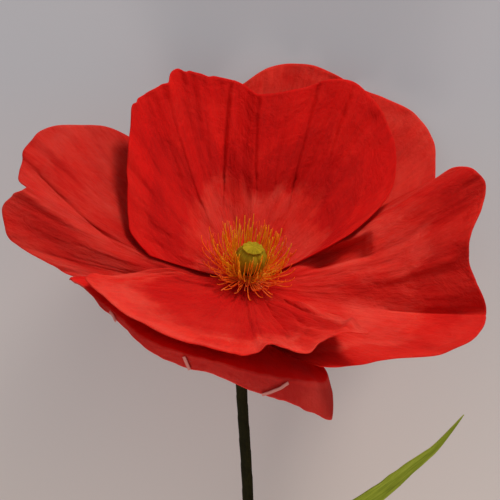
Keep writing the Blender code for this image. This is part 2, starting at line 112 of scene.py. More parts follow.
# Folds: azimuth at the rim, azimuth half way in, height in millimetres (a valley is negative), and
# half width in degrees
OUTER_BACK_FOLDS = (
    (52, 52, -2.6, 4), (66, 66, 1.6, 3), (77, 77, -1.6, 2.5), (84, 84, 2.0, 3), (112, 112, -2.5, 6),
)
LEFT_FOLDS = ((150, 150, -1.6, 4), (177, 190, -3.4, 3.2), (186, 195, 3.6, 3.2), (196, 201, -4.0, 4))
RIGHT_FOLDS = (
    (-50, -45, -1.2, 4), (-34, -34, 2.0, 7), (-18, -22, -7.0, 5), (3, -2, 5.4, 7), (24, 28, 2.2, 4),
    (13, 12, -1.8, 3), (34, 30, -1.5, 3),
)
INNER_BACK_FOLDS = (
    (48, 48, 2.0, 5), (69, 65, 1.8, 2.6), (81, 75, -1.4, 2.6), (102, 110, -2.0, 3.4), (121, 124, 2.2, 5),
    (150, 150, 1.8, 6), (58, 57, -1.6, 2.5), (113, 116, 1.2, 2), (134, 138, -1.6, 3),
)
OUTER_FRONT_FOLDS = ((232, 232, 1.0, 5), (262, 262, -1.0, 6))
INNER_FRONT_FOLDS = ((216, 216, 1.2, 5), (246, 246, -1.2, 6), (279, 279, -2.2, 4), (297, 297, 1.2, 3))

# Creases: two ends as azimuth and reach, height and width in millimetres, and the side on which the
# paper falls slowly: 0 for both, 1 for the left of the way from the first end, -1 for the right
INNER_FRONT_CREASES = (
    ((324, 6), (291, 47), -1.8, 5.0, 1), ((330, 14), (318, 34), -1.2, 3.0, -1),
    ((204, 25), (216, 15), 0.8, 3.0, 1), ((216, 15), (233, 6), 0.7, 2.0, 1),
    ((306, 30), (301, 46), -0.45, 0.8, 0), ((310, 30), (307, 45), -0.45, 0.8, 0),
    ((303, 36), (297, 50), -0.4, 0.8, 0), ((314, 31), (313, 42), -0.4, 0.8, 0),
    ((302, 66), (309, 60), 1.8, 2.0, 0), ((305, 75), (307.5, 70), -1.2, 3.0, 0),
    ((260, 62), (281, 58), -0.5, 3.0, 1), ((213, 50), (206, 38), -0.35, 0.8, 0),
    ((209, 46), (205, 33), 0.4, 0.8, 0),
)
LEFT_CREASES = (
    ((177, 82), (190, 49), -1.5, 2.2, 1), ((150, 80), (158, 50), 0.5, 1.2, 0),
    ((189, 87), (193, 58), -0.7, 2.6, 0), ((140, 70), (150, 45), -0.4, 1.0, 0),
    ((165, 84), (170, 60), 0.4, 1.2, 0),
)
INNER_BACK_CREASES = (
    ((104.5, 74), (109.5, 44), 2.2, 9.0, 1), ((96, 62), (94.5, 42), 1.3, 7.0, 1),
    ((79, 79), (75.5, 46), 2.2, 10.0, 1), ((70, 78), (67, 60), 1.2, 5.0, 1),
    ((120, 70), (122, 40), -0.6, 1.2, 0), ((97, 40), (92, 22), 0.6, 1.4, 0),
    ((113, 76), (116, 50), -0.5, 1.0, 0), ((62, 78), (62, 56), -0.7, 1.8, 0),
    ((130, 72), (134, 44), -0.5, 1.4, 0), ((86, 62), (84, 40), 0.5, 3.0, 1),
    ((112, 30), (104, 14), -0.8, 1.5, 0), ((78, 36), (80, 18), 0.6, 1.4, 0),
    ((125, 66), (128, 34), 0.6, 5.0, 1), ((55, 74), (56, 44), 0.6, 5.0, 1),
)
RIGHT_CREASES = (
    ((-19, 55), (-19, 92), -3.2, 5.0, 1), ((-2, 70), (-6, 40), 0.7, 2.0, 0),
    ((12, 75), (4, 48), -0.7, 1.6, 0), ((33, 70), (26, 50), -0.6, 1.5, 0),
    ((22, 80), (15, 58), 0.5, 1.4, 0),
)
OUTER_BACK_CREASES = (
    ((84, 95), (84, 70), -0.8, 1.5, 0), ((76, 97), (77, 75), -0.9, 2.0, 1),
    ((60, 100), (62, 80), -0.6, 1.6, 0), ((95, 90), (94, 70), -0.5, 1.2, 0),
)

# Small cuts into the rims: azimuth, depth in millimetres, half width in degrees
INNER_BACK_CUTS = (
    (111.3, 1.3, 1.3), (117.6, 2.0, 0.9), (123.8, 2.4, 1.3), (136.6, 1.2, 0.9), (97, 0.8, 2.0),
)
LEFT_CUTS = ((185.4, 0.8, 0.6), (157, 0.8, 3.0), (172, -1.8, 4.0), (194, -1.0, 4.0))
CUT_START = 0.8
RIM_UNEVENNESS = 0.45
RIM_UNEVEN_CELLS = 34

# The pocket in the right petal under its neighbour's edge: the two ends of its lower lip as azimuth
# and reach, its depth, and how wide it stays deep and then rises, in millimetres
POCKET = ((15, 15), (9.5, 44), 10.0, 7.5, 6.0)
POCKET_LIP = 1.4
POCKET_MOUTH = 12.0
POCKET_END = 3.5

# How far the inner back petal's left edge hangs down, in millimetres, and over what share of its rim
DROOP = 1.6
DROOP_WIDTH = 0.07

# Where the inner back petal's lower part ends in a soft knee: along, half width, depth in millimetres
KNEE_ALONG = 0.49
KNEE_WIDTH = 0.1
KNEE_DEPTH = 2.0
KNEE_MIDDLE = 78.0
KNEE_SPREAD = 26.0

# The solid petals' gathers: their height, and how many columns of faces they run over
GATHER_HEIGHT = 0.65
GATHER_SEED = 40
GATHER_COLUMNS = 28

# How finely a petal is divided round its rim and from root to rim
PETAL_COLUMNS = 290
PETAL_ROWS = 80

# Pleats of the crepe: how many lie side by side, how many follow each other along, and height
PLEATS = ((15, 3, 0.8), (40, 4, 0.5), (92, 6, 0.26), (30, 16, 0.3))
RIM_WAVES = 13
RIM_WAVE_HEIGHT = 0.9

# How sharply the paper drops at the edge of a tuck, in millimetres
TUCK_EDGE = 0.45


def bloom_matrix():
    """From the bloom's own frame, with its axis on Z, to the flower's, as an array."""
    roll = Matrix.Rotation(math.radians(BLOOM_ROLL), 3, "Z")
    return np.array(roll @ Matrix.Rotation(math.radians(-BLOOM_TILT), 3, "X"))


BLOOM = bloom_matrix()
UP = BLOOM.T @ np.array((0.0, 0.0, 1.0))
AXIS = np.array((0.0, 0.0, 1.0))


def to_flower(points):
    """Points of the bloom's own frame, in the flower's."""
    return points @ BLOOM.T + BLOOM_BASE


def between(rows, place):
    """The stations' values at places from 0 to len(rows) - 1, on Catmull-Rom curves."""
    rows = np.array(rows, float)
    last = len(rows) - 1
    first = np.clip(np.floor(place).astype(int), 0, last - 1)
    part = (place - first)[:, None]
    before, start, end, after = (rows[np.clip(first + k, 0, last)] for k in (-1, 0, 1, 2))
    return (
        start
        + 0.5 * part * (end - before)
        + part**2 * (before - 2.5 * start + 2 * end - 0.5 * after)
        + part**3 * 0.5 * (3 * start - before - 3 * end + after)
    )


def polar(azimuth, reach, height):
    angle = np.radians(azimuth)
    return np.stack((reach * np.cos(angle), reach * np.sin(angle), height + 0 * angle), axis=1)


def soft_noise(across, along, cells_across, cells_along, seed):
    """Smooth noise from -1 to 1 over a lattice of cells."""
    lattice = np.random.default_rng(seed).uniform(-1.0, 1.0, (cells_across + 2, cells_along + 2))
    wide = np.clip(across, 0.0, 1.0) * cells_across
    tall = np.clip(along, 0.0, 1.0) * cells_along
    column = wide.astype(int)
    row = tall.astype(int)
    x = wide - column
    y = tall - row
    x = x * x * (3 - 2 * x)
    y = y * y * (3 - 2 * y)
    low = lattice[column, row] * (1 - x) + lattice[column + 1, row] * x
    high = lattice[column, row + 1] * (1 - x) + lattice[column + 1, row + 1] * x
    return low * (1 - y) + high * y


class Petal:
    """One petal as a surface: across runs round its rim, along runs from its root to its rim."""

    def __init__(
        self, rim, folds, layer, lift_way, hem=(), creases=(), cuts=(), knee=0.0, pocket=(), droop=0.0
    ):
        self.rim = rim
        self.folds = folds
        self.root = layer * PETAL_ROOT_STEP
        self.root_reach = STEM_WRAP / 2 + PETAL_ROOT_GAP
        self.seed = 10 * (layer + 1)
        self.gathers = np.random.default_rng(GATHER_SEED + layer).uniform(-1.0, 1.0, GATHER_COLUMNS + 1)
        self.lift_way = lift_way
        self.hem = hem
        self.creases = creases
        self.cuts = cuts
        self.knee = knee
        self.pocket = pocket
        self.droop = droop

    def smooth(self, across, along):
        """The petal of the solid model, without its crepe."""
        azimuth, reach, rise = between(self.rim, across * (len(self.rim) - 1)).T
        body = along
        out = drop = turn = 0.0
        if self.hem:
            angles, outs, drops = zip(*self.hem)
            body = np.minimum(along / HEM_START, 1.0)
            turn = np.maximum(along - HEM_START, 0.0) / (1.0 - HEM_START)
            out = np.interp(azimuth, angles, outs)
            drop = np.interp(azimuth, angles, drops)
        reach = self.root_reach + (reach - self.root_reach) * body + out * turn
        height = self.root + (rise - self.root) * body**PETAL_BOWL - drop * turn
        fold = 0.0
        for rim_angle, half_angle, lift, width in self.folds:
            angle = rim_angle + 2 * (half_angle - rim_angle) * (1 - body)
            fold = fold + lift * np.exp(-(((azimuth - angle) / width) ** 2))
        place = np.clip(across, 0.0, 1.0) * GATHER_COLUMNS
        first = np.minimum(place.astype(int), GATHER_COLUMNS - 1)
        part = 0.5 - 0.5 * np.cos((place - first) * math.pi)
        gather = self.gathers[first] * (1 - part) + self.gathers[first + 1] * part
        lift = (fold + GATHER_HEIGHT * gather) * body**2
        return polar(azimuth, reach, height) + lift[:, None] * UP

    def lift(self, across, along):
        """How far the gathers, the waves of the rim and the creases lift the paper."""
        lift = 0.0
        for order, (wide, tall, height) in enumerate(PLEATS):
            lift = lift + height * soft_noise(across, along, wide, tall, self.seed + order)
        lift = lift * along * (1.25 - 0.6 * along)
        waves = soft_noise(across, along, RIM_WAVES, 1, self.seed + 9)
        lift = lift + RIM_WAVE_HEIGHT * waves * along**5
        azimuth, reach, _ = between(self.rim, across * (len(self.rim) - 1)).T
        plan = polar(azimuth, reach * along, 0.0)[:, :2]
        for start, end, height, width, tuck in self.creases:
            away, side = distance(plan, start, end)
            ridge = np.exp(-((away / width) ** 2))
            if tuck:
                ridge = np.where(side * tuck > 0, np.exp(-away / width), np.exp(-((away / TUCK_EDGE) ** 2)))
            lift = lift + height * ridge
        if self.pocket:
            lift = lift - pocket_depth(plan, *self.pocket)
        if self.droop:
            edge = np.exp(-(((1 - across) / DROOP_WIDTH) ** 2))
            lift = lift - self.droop * edge * np.sin(along * math.pi)
        if self.knee:
            share = np.exp(-(((azimuth - KNEE_MIDDLE) / KNEE_SPREAD) ** 2))
            lift = lift - self.knee * share * np.exp(-(((along - KNEE_ALONG) / KNEE_WIDTH) ** 2))
        return lift

    def trim(self, across, along):
        """How far the scissors' uneven way draws the paper in near its rim."""
        azimuth = between(self.rim, across * (len(self.rim) - 1))[:, 0]
        near = np.clip((along - CUT_START) / (1 - CUT_START), 0.0, 1.0) ** 2
        depth = RIM_UNEVENNESS * soft_noise(across, along, RIM_UNEVEN_CELLS, 1, self.seed + 8)
        for angle, cut, width in self.cuts:
            depth = depth + cut * np.exp(-(((azimuth - angle) / width) ** 2))
        angle = np.radians(azimuth)
        inwards = np.stack((-np.cos(angle), -np.sin(angle), 0 * angle), axis=1)
        return (depth * near)[:, None] * inwards

    def at(self, across, along):
        """The middle of the paper, with its crepe, creases and cuts."""
        place = self.smooth(across, along) + self.trim(across, along)
        return place + self.lift(across, along)[:, None] * self.lift_way


def distance(plan, start, end):
    """How far plan points lie from the stretch between two places, and to which side of it."""
    ends = polar(np.array((start[0], end[0])), np.array((start[1], end[1])), 0.0)[:, :2]
    way = ends[1] - ends[0]
    part = np.clip((plan - ends[0]) @ way / (way @ way), 0.0, 1.0)
    off = plan - ends[0] - part[:, None] * way
    return np.linalg.norm(off, axis=1), way[0] * off[:, 1] - way[1] * off[:, 0]


def ease(value):
    """A smooth step from 0 to 1."""
    value = np.clip(value, 0.0, 1.0)
    return value * value * (3 - 2 * value)


def pocket_depth(plan, start, end, depth, width, rise):
    """How deep the paper lies in a pocket to the left of the way between two places."""
    ends = polar(np.array((start[0], end[0])), np.array((start[1], end[1])), 0.0)[:, :2]
    length = np.linalg.norm(ends[1] - ends[0])
    way = (ends[1] - ends[0]) / length
    off = plan - ends[0]
    far = off @ way
    side = way[0] * off[:, 1] - way[1] * off[:, 0]
    mouth = ease(far / POCKET_MOUTH) * (1 - ease((far - length + POCKET_END) / POCKET_END))
    return depth * mouth * ease(side / POCKET_LIP) * (1 - 0.8 * ease((side - width) / rise))


PETALS = {
    "petal_outer_back": Petal(OUTER_BACK_RIM, OUTER_BACK_FOLDS, 0, UP, creases=OUTER_BACK_CREASES),
    "petal_left": Petal(LEFT_RIM, LEFT_FOLDS, 1, UP, creases=LEFT_CREASES, cuts=LEFT_CUTS),
    "petal_outer_front": Petal(OUTER_FRONT_RIM, OUTER_FRONT_FOLDS, 2, AXIS, hem=HEM_TURN),
    "petal_right": Petal(RIGHT_RIM, RIGHT_FOLDS, 3, UP, creases=RIGHT_CREASES, pocket=POCKET),
    "petal_inner_front": Petal(INNER_FRONT_RIM, INNER_FRONT_FOLDS, 4, AXIS, creases=INNER_FRONT_CREASES),
    "petal_inner_back": Petal(
        INNER_BACK_RIM, INNER_BACK_FOLDS, 5, UP,
        creases=INNER_BACK_CREASES, cuts=INNER_BACK_CUTS, knee=KNEE_DEPTH, droop=DROOP,
    ),
}


def linear(colour):
    """An sRGB hex colour as linear red, green, blue and alpha."""
    parts = [int(colour[k : k + 2], 16) / 255 for k in (1, 3, 5)]
    return (*[part / 12.92 if part <= 0.04045 else ((part + 0.055) / 1.055) ** 2.4 for part in parts], 1.0)


def add(tree, kind, inputs=None, stops=(), **settings):
    """Adds a node with its settings, its inputs' values or links, and a ramp's places and colours."""
    made = tree.nodes.new(kind)
    for name, value in settings.items():
        setattr(made, name, value)
    for name, value in (inputs or {}).items():
        if isinstance(value, bpy.types.NodeSocket):
            tree.links.new(value, made.inputs[name])
        else:
            made.inputs[name].default_value = value
    if stops:
        band = made.color_ramp
        while len(band.elements) < len(stops):
            band.elements.new(0.5)
        for element, (place, colour) in zip(band.elements, stops):
            element.position = place
            element.color = linear(colour)
    return made


def new_material(name):
    made = bpy.data.materials.new(name)
    made.use_nodes = True
    made.node_tree.nodes.clear()
    return made, made.node_tree


# How the papers take the light: how matt they are, their faint gloss, and how easily red, green and
# blue pass into the sheet, with the depth in millimetres
PAPER_ROUGHNESS = 0.85
PAPER_GLOSS = 0.14
PAPER_PASSES = (1.0, 0.1, 0.06)
PAPER_PASS_DEPTH = 1.3


def finish_material(tree, colour, bump, roughness, metallic=0.0, glow=0.0):
    """The Principled shader and the output that each material ends in."""
    inputs = {"Base Color": colour, "Normal": bump, "Roughness": roughness, "Metallic": metallic}
    if not metallic:
        inputs["Specular IOR Level"] = PAPER_GLOSS
    if glow:
        inputs["Subsurface Weight"] = glow
        inputs["Subsurface Radius"] = PAPER_PASSES
        inputs["Subsurface Scale"] = PAPER_PASS_DEPTH * MM
    shader = add(tree, "ShaderNodeBsdfPrincipled", inputs)
    add(tree, "ShaderNodeOutputMaterial", {"Surface": shader.outputs["BSDF"]})


# The papers' patterns: the width and length of one cell in millimetres, then the noise's detail,
# roughness and distortion. A ridge's width and length come with each paper
RIDGES = (3.0, 0.6, 0.0)
DYE = ((9.0, 28.0), 4.0, 0.6, 0.0)
FADE_AND_SHEEN = ((22.0, 30.0), 6.0, 0.62, 0.0)
HANDLING = ((5.0, 9.0), 5.0, 0.65, 0.4)

# The share of the dye beside the ridges, where the paler patches of partly faded dye and partly painted
# sheen start and are full, and the patterns' depths
DYE_SHARE = 0.55
FADE_AND_SHEEN_START = 0.42
FADE_AND_SHEEN_FULL = 0.72
FADED_AND_SHEEN_RED = "#e05a4a"
RIDGE_STRENGTH = 0.3
RIDGE_DEPTH = 0.6
HANDLING_DEPTH = 3.0


def crepe(name, tones, size, grain, painted_shade_zones=(), drift=0.0, glow=0.0, crumple=0.0, blend_share=0.0):
    """Crepe paper: fine ridges along the sheet, with painted shade darkening the paper between them, and
    broad uneven dyeing.

    tones are the dark, middle and light colour, size is the sheet's width and length, and grain is
    the width and length of one ridge, all in millimetres. Real ridges are about 0.3 mm apart.
    painted_shade_zones are tints from root to rim that paint shade onto the paper, and drift is how far
    their edges wander. glow is how much light comes through, crumple how strongly the sheet is creased
    by handling, and blend_share how far the colour turns to a paler red in patches, partly faded dye
    and partly painted sheen.
    """
    made, tree = new_material(name)
    sheet = add(tree, "ShaderNodeTexCoord").outputs["UV"]

    def pattern(cell, detail, roughness, distortion):
        scale = (size[0] / cell[0], size[1] / cell[1], 1.0)
        place = add(tree, "ShaderNodeMapping", {"Vector": sheet, "Scale": scale}).outputs["Vector"]
        look = {"Scale": 1.0, "Detail": detail, "Roughness": roughness, "Distortion": distortion}
        return add(tree, "ShaderNodeTexNoise", {"Vector": place, **look}).outputs["Fac"]

    ridges = pattern(grain, *RIDGES)
    dye = pattern(*DYE)
    # The ridges' pattern also darkens the colour between them: painted shade in the crepe's valleys
    both = add(
        tree, "ShaderNodeMix", {"Factor": DYE_SHARE, "A": ridges, "B": dye}, data_type="FLOAT"
    ).outputs["Result"]
    dark, middle, light = tones
    colour = add(
        tree, "ShaderNodeValToRGB", {"Fac": both}, ((0.3, dark), (0.5, middle), (0.7, light))
    ).outputs["Color"]
    # Paler red in random patches: partly faded dye, partly painted sheen
    if blend_share:
        share = add(
            tree, "ShaderNodeMapRange",
            {"Value": pattern(*FADE_AND_SHEEN), "From Min": FADE_AND_SHEEN_START, "From Max": FADE_AND_SHEEN_FULL, "To Max": blend_share},
        ).outputs["Result"]
        colour = add(
            tree, "ShaderNodeMix", {"Factor": share, "A": colour, "B": linear(FADED_AND_SHEEN_RED)}, data_type="RGBA"
        ).outputs["Result"]
    # Painted shade: the tints from root to rim darken the colour where shade falls on the petal
    if painted_shade_zones:
        length = add(tree, "ShaderNodeSeparateXYZ", {"Vector": sheet}).outputs["Y"]
        uneven = add(
            tree, "ShaderNodeMath", {0: dye, 1: drift, 2: length}, operation="MULTIPLY_ADD"
        ).outputs["Value"]
        painted_shade_tint = add(tree, "ShaderNodeValToRGB", {"Fac": uneven}, painted_shade_zones).outputs["Color"]
        colour = add(
            tree, "ShaderNodeMix", {"Factor": 1.0, "A": colour, "B": painted_shade_tint},
            data_type="RGBA", blend_type="MULTIPLY",
        ).outputs["Result"]
    height = add(
        tree, "ShaderNodeBump",
        {"Strength": RIDGE_STRENGTH, "Distance": RIDGE_DEPTH * MM, "Height": ridges},
    ).outputs["Normal"]
    if crumple:
        height = add(
            tree, "ShaderNodeBump",
            {
                "Strength": crumple, "Distance": HANDLING_DEPTH * MM,
                "Height": pattern(*HANDLING), "Normal": height,
            },
        ).outputs["Normal"]
    finish_material(tree, colour, height, PAPER_ROUGHNESS, glow=glow)
    return made


def deselect():
    bpy.ops.object.select_all(action="DESELECT")


def grid(name, columns, rows, point, lowest=0.0):
    """A grid of columns by rows faces whose vertices lie at point(across, along), in millimetres."""
    deselect()
    bpy.ops.mesh.primitive_grid_add(x_subdivisions=columns, y_subdivisions=rows, size=1.0)
    sheet = bpy.context.object
    sheet.name = name
    places = np.empty(len(sheet.data.vertices) * 3)
    sheet.data.vertices.foreach_get("co", places)
    places = places.reshape(-1, 3) + 0.5
    places = to_flower(point(places[:, 0], places[:, 1]))
    places[:, 2] = np.maximum(places[:, 2], lowest)
    sheet.data.vertices.foreach_set("co", (places * MM).ravel())
    sheet.data.update()
    return sheet


def apply_modifiers(piece):
    deselect()
    piece.select_set(True)
    bpy.context.view_layer.objects.active = piece
    for modifier in list(piece.modifiers):
        bpy.ops.object.modifier_apply(modifier=modifier.name)
    return piece


def thicken(sheet, thickness, offset=0.0):
    wall = sheet.modifiers.new("paper", "SOLIDIFY")
    wall.thickness = thickness * MM
    wall.offset = offset
    return apply_modifiers(sheet)


def close_seam(piece):
    """Joins the edges of a sheet that was rolled up, and turns its faces outwards."""
    deselect()
    piece.select_set(True)
    bpy.context.view_layer.objects.active = piece
    bpy.ops.object.mode_set(mode="EDIT")
    bpy.ops.mesh.select_all(action="SELECT")
    bpy.ops.mesh.remove_doubles(threshold=0.002 * MM)
    bpy.ops.mesh.normals_make_consistent(inside=False)
    bpy.ops.object.mode_set(mode="OBJECT")
    return piece


def finish_piece(piece, node, material):
    """Gives a piece its material, hangs it on the root body and hides the solid it stands for."""
    piece.data.materials.clear()
    piece.data.materials.append(material)
    piece.data.shade_smooth()
    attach(piece, "root")
    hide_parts(node)


# Each petal's paper: its dark, middle and light red, a tint over them from root to rim that paints
# shade (darker deep in the cup on most petals, in a band towards the rim of the inner back petal, and
# over the outer front petal where its neighbour's rim overhangs it), how far the tint's edges drift,
# and how strongly the sheet is creased by handling
RED = ("#b6140c", "#cc1c12", "#dc2e20")
DULL_RED = ("#b82420", "#c22c26", "#cc3630")
PAPERS = {
    "petal_outer_back": (RED, ((0.5, "#f0a8a0"), (1.0, "#ffe8e0")), 0.3, 0.4),
    "petal_left": (RED, ((0.5, "#d07068"), (0.75, "#e8e0e0")), 0.3, 0.5),
    "petal_right": (
        RED, ((0.3, "#f49890"), (0.7, "#ffffff"), (0.95, "#ffffff"), (1.0, "#f0a8a0")), 0.4, 0.5,
    ),
    "petal_inner_front": (
        RED, ((0.3, "#e46458"), (0.76, "#e46c60"), (0.9, "#fff8f4"), (1.0, "#ffffff")), 0.3, 0.5,
    ),
    "petal_inner_back": (
        RED,
        ((0.4, "#ffffff"), (0.72, "#fff0ea"), (0.8, "#e85044"), (1.0, "#f0564a"), (1.0, "#fa7064")),
        0.5, 0.45,
    ),
    # Painted shade over the body, up to a thin pale line along the fold; the hem beyond stays duller and
    # paler, partly the paper's other side and partly painted light
    "petal_outer_front": (
        DULL_RED,
        ((0.8, "#ff6c60"), (0.875, "#ff6c60"), (0.885, "#ffffff"), (0.9, "#ffe8e0"), (0.91, "#ecccc8")),
        0.01, 0.3,
    ),
}
PETAL_GLOW = 0.7
PETAL_FADE_AND_SHEEN = 0.5
PETAL_SHEET = (120.0, 90.0)
PETAL_GRAIN = (0.9, 9.0)

# How high over the surface the middle of a petal's paper stays, as a share of its thickness
PETAL_LIE = 0.6


def make_petals():
    """Six sheets of red crepe paper, each as wide and long as its own rim asks."""
    for name, petal in PETALS.items():
        tones, painted_shade_zones, drift, crumple = PAPERS[name]
        sheet = grid("crepe_" + name, PETAL_COLUMNS, PETAL_ROWS, petal.at, PETAL_THICKNESS * PETAL_LIE)
        # Matt, finely ridged and lit through: warm where the light falls, and deep red in the folds, with
        # painted shade from the tints
        paper = crepe(
            "red_crepe_paper_" + name, tones, PETAL_SHEET, PETAL_GRAIN,
            painted_shade_zones=painted_shade_zones, drift=drift, glow=PETAL_GLOW, crumple=crumple, blend_share=PETAL_FADE_AND_SHEEN,
        )
        finish_piece(thicken(sheet, PETAL_THICKNESS), name, paper)


# Fringes: each turn of the rolled strip with its node, fingers, distance from the axis, spread,
# and how far above the band the tips stand at the back and at the front, in millimetres
FRINGE_BAND = 2.4
FRINGE_STEP = 0.75
FRINGE_TURNS = (
    ("fringe_inner", 44, 2.75, 8.2, 15.5, 11.0),
    ("fringe_inner", 50, 3.05, 13.0, 15.0, 8.0),
    ("fringe_outer", 54, 3.45, 15.0, 13.0, 5.0),
    ("fringe_outer", 58, 3.75, 17.0, 11.0, 2.0),
)
FINGER_ROWS = 10
FRINGE_THICKNESS = 0.25
FRINGE_SEED = 20

# Fingers: the share of its pitch that one takes, how much it widens outwards, and its narrow tip
FINGER_SHARE = math.degrees(1 / 115)
FINGER_WIDENING = 0.6
FINGER_TIP = 0.9
FINGER_TIP_WIDTH = 0.5

# How unevenly they lie: degrees to either side, and shares of the spread, the rise and a half turn
FINGER_LEAN = 9.0
FINGER_STRETCH = (0.72, 1.08)
FINGER_RAISE = (0.8, 1.15)
FINGER_CURL = (0.55, 0.78)

# The side on which they are longer: its azimuth and half width in degrees, and by what share
LONG_SIDE = (145.0, 35.0, 0.22)


def fringe_base():
    return max(petal.root for petal in PETALS.values()) + PETAL_THICKNESS / 2 + FIT_GAP


def band_top(order):
    return fringe_base() + FRINGE_BAND + (1 - order) * FRINGE_STEP


def make_turn(name, order, turn, fingers, band_reach, spread, back_lift, front_lift):
    """One turn of a comb-cut strip: a band, and fingers that spread and curl at their tips."""
    columns = 2 * fingers - 1
    pitch = 360.0 / fingers
    start = fringe_base()
    top = band_top(order)
    rng = np.random.default_rng(FRINGE_SEED + turn)
    lean = rng.uniform(-FINGER_LEAN, FINGER_LEAN, fingers)
    stretch = rng.uniform(*FINGER_STRETCH, fingers)
    azimuth, half_width, longer = LONG_SIDE
    turned = 90.0 + pitch * (np.arange(fingers) + 0.5)
    stretch = stretch * (1 + longer * np.exp(-(((turned - azimuth) / half_width) ** 2)))
    raised = rng.uniform(*FINGER_RAISE, fingers)
    curled = rng.uniform(*FINGER_CURL, fingers)

    def point(across, along):
        column = np.round(across * columns).astype(int)
        row = np.round(along * FINGER_ROWS).astype(int)
        finger = column // 2
        middle = 90.0 + pitch * (finger + 0.5)
        part = np.clip((row - 1) / (FINGER_ROWS - 1), 0.0, 1.0)
        back = 0.5 + 0.5 * np.sin(np.radians(middle))
        lift = (front_lift + (back_lift - front_lift) * back) * raised[finger]
        bend = math.pi * curled[finger]
        curl = (1 - np.cos(part * bend)) / (1 - np.cos(bend))
        reach = band_reach + (spread * stretch[finger] - band_reach) * np.sin(part * math.pi / 2)
        height = np.where(row == 0, start, top + lift * curl)
        taper = np.where(part > FINGER_TIP, FINGER_TIP_WIDTH, 1.0)
        side = (column % 2 - 0.5) * pitch * FINGER_SHARE * band_reach * taper / reach
        width = side * (1 + FINGER_WIDENING * part)
        return polar(middle + width + lean[finger] * part**1.3, reach, height)

    comb = grid(name, columns, FINGER_ROWS, point)
    shape = bmesh.new()
    shape.from_mesh(comb.data)
    slots = []
    for face in shape.faces:
        row, column = min(divmod(vertex.index, columns + 1) for vertex in face.verts)
        if row >= 1 and column % 2 == 1:
            slots.append(face)
    bmesh.ops.delete(shape, geom=slots, context="FACES")
    shape.to_mesh(comb.data)
    shape.free()
    return thicken(comb, FRINGE_THICKNESS)


def make_fringes():
    """The rolled combs round the pod, orange outside and yellower inside."""
    # Clean yellow inside strong orange, which light up the heart of the bloom against the red
    papers = {
        "fringe_inner": crepe(
            "yellow_fringe_paper", ("#e88c04", "#ffb010", "#ffd860"), (20, 18), (0.5, 3.0)
        ),
        "fringe_outer": crepe(
            "orange_fringe_paper", ("#f04c08", "#ff7014", "#ffa468"), (24, 18), (0.5, 3.0)
        ),
    }
    for order, node in enumerate(papers):
        turns = [
            make_turn(f"{node}_turn_{turn}", order, turn, *sizes)
            for turn, (owner, *sizes) in enumerate(FRINGE_TURNS)
            if owner == node
        ]
        deselect()
        for piece in turns:
            piece.select_set(True)
        bpy.context.view_layer.objects.active = turns[0]
        bpy.ops.object.join()
        turns[0].name = "snipped_" + node
        finish_piece(turns[0], node, papers[node])


# Pod, in millimetres
POD_DIAMETER = 12.4
POD_HEIGHT = 10.6
POD_RIBS = 9
POD_RIB_DEPTH = 0.35
POD_FLAT_FOOT = 0.94
POD_FLAT_CROWN = 0.8

# The pod's gathers: height, how many lie round it, and how many follow each other up it
POD_PLEATS = ((0.10, 60, 3), (0.12, 22, 2))
POD_PLEAT_SEED = 71

# Stigma: its size in millimetres, and the shares of its way where its underside and its edge end
STIGMA_DIAMETER = 8.0
STIGMA_THICKNESS = 0.9
STIGMA_NOTCH = 0.35
STIGMA_UNDER = 0.25
STIGMA_EDGE = 0.35


def pod_base():
    return band_top(0) + 2 * FIT_GAP


def pod_top():
    return pod_base() + POD_HEIGHT / 2 * (1 + POD_FLAT_CROWN / POD_FLAT_FOOT)


def make_pod():
    """A ball of wadding under gathered olive crepe, with ribs and fine pleats."""

    def point(across, along):
        azimuth = across * 360.0
        level = -np.cos(along * math.pi)
        girth = np.sin(along * math.pi)
        pleats = 0.0
        for order, (height, wide, tall) in enumerate(POD_PLEATS):
            pleats = pleats + height * soft_noise(across, along, wide, tall, POD_PLEAT_SEED + order)
        edge = np.minimum(across, 1.0 - across)
        pleats = pleats * np.minimum(edge * 20, 1.0)
        rib = POD_RIB_DEPTH * np.cos(POD_RIBS * np.radians(azimuth)) + pleats
        share = 1 + np.clip(level, -POD_FLAT_FOOT, POD_FLAT_CROWN) / POD_FLAT_FOOT
        height = pod_base() + POD_HEIGHT / 2 * share
        return polar(azimuth, girth * (POD_DIAMETER / 2 - POD_RIB_DEPTH + rib), height)

    pod = close_seam(grid("gathered_pod", 180, 60, point))
    # Dull olive, with painted shade between its fine ridges, so that the pod reads as a ball wrapped in
    # paper
    paper = crepe("olive_crepe_paper", ("#6c5c08", "#9c8810", "#c8ac28"), (39, 17), (0.45, 5.0))
    finish_piece(pod, "seed_pod", paper)


def make_stigma():
    """A scalloped disc of raised rays on the pod's crown."""

    def point(across, along):
        azimuth = across * 360.0
        ray = 0.5 + 0.5 * np.cos(POD_RIBS * np.radians(azimuth))
        reach = STIGMA_DIAMETER / 2 - STIGMA_NOTCH * (1 - ray)
        rim = np.where(along > STIGMA_EDGE, (1 - along) / (1 - STIGMA_EDGE), 1.0)
        share = np.where(along < STIGMA_UNDER, along / STIGMA_UNDER, rim)
        upper = np.clip((along - STIGMA_UNDER) / (STIGMA_EDGE - STIGMA_UNDER), 0.0, 1.0)
        ridge = 0.2 + 0.15 * ray * np.clip(share * 1.4, 0, 1) + 0.85 * (1 - share**2)
        height = pod_top() + FIT_GAP + STIGMA_THICKNESS * upper * ridge
        return polar(azimuth, reach * share, height)

    disc = close_seam(grid("rayed_stigma", 144, 40, point))
    # Gold, the lightest spot in the middle of the bloom
    paper = crepe("gold_paper", ("#6c5c08", "#a48e10", "#d8b828"), (26, 10), (0.4, 2.0))
    finish_piece(disc, "stigma_disc", paper)


